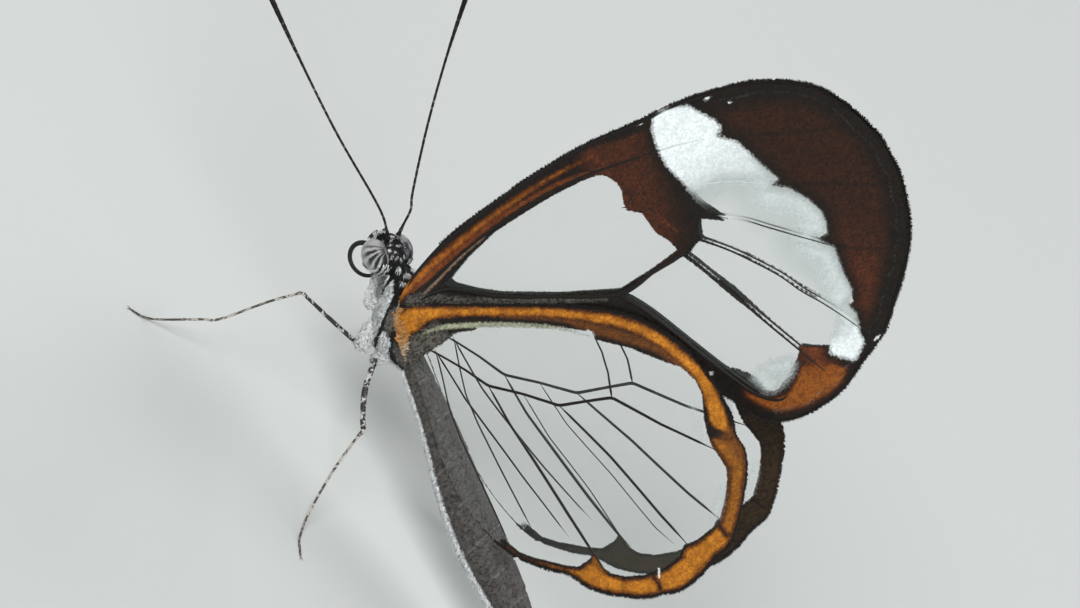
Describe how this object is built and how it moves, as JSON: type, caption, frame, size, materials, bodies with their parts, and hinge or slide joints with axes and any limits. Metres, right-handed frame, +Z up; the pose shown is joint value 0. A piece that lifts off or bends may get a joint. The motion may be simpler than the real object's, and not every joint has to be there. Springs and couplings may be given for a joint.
{
  "type": "glasswing butterfly",
  "caption": "Glasswing butterfly at rest on its legs, clear orange-edged wings closed over its back.",
  "frame": {"origin": "floor under the middle of the whole insect's box", "axes": "+X towards the tail, -X towards the head, +Y towards the insect's right side, +Z up"},
  "size_m": [0.0356, 0.016, 0.0352],
  "materials": {
    "body_skin": "black scales with white tufts and bands",
    "abdomen_skin": "dark brown scales, silky",
    "eye": "smooth grey dome with dark slanting stripes",
    "feeler": "satin black rings",
    "palp": "black and white scale tufts",
    "tongue": "glossy black, finely ringed",
    "leg": "brown, mottled with pale scales",
    "forewing": "clear membrane in dark brown and rust scaled borders, white band",
    "hindwing": "clear membrane in orange and dark brown scaled borders"
  },
  "bodies": {
    "root": {"abdomen": "abdomen_skin", "antenna_left": "feeler", "antenna_right": "feeler", "eye_left": "eye", "eye_right": "eye", "foreleg_left": "leg", "foreleg_right": "leg", "forewing_left": "forewing", "forewing_right": "forewing", "head": "body_skin", "hindleg_left": "leg", "hindleg_right": "leg", "hindwing_left": "hindwing", "hindwing_right": "hindwing", "midleg_left": "leg", "midleg_right": "leg", "palp_left": "palp", "palp_right": "palp", "proboscis": "tongue", "thorax": "body_skin"}
  },
  "joints": []
}
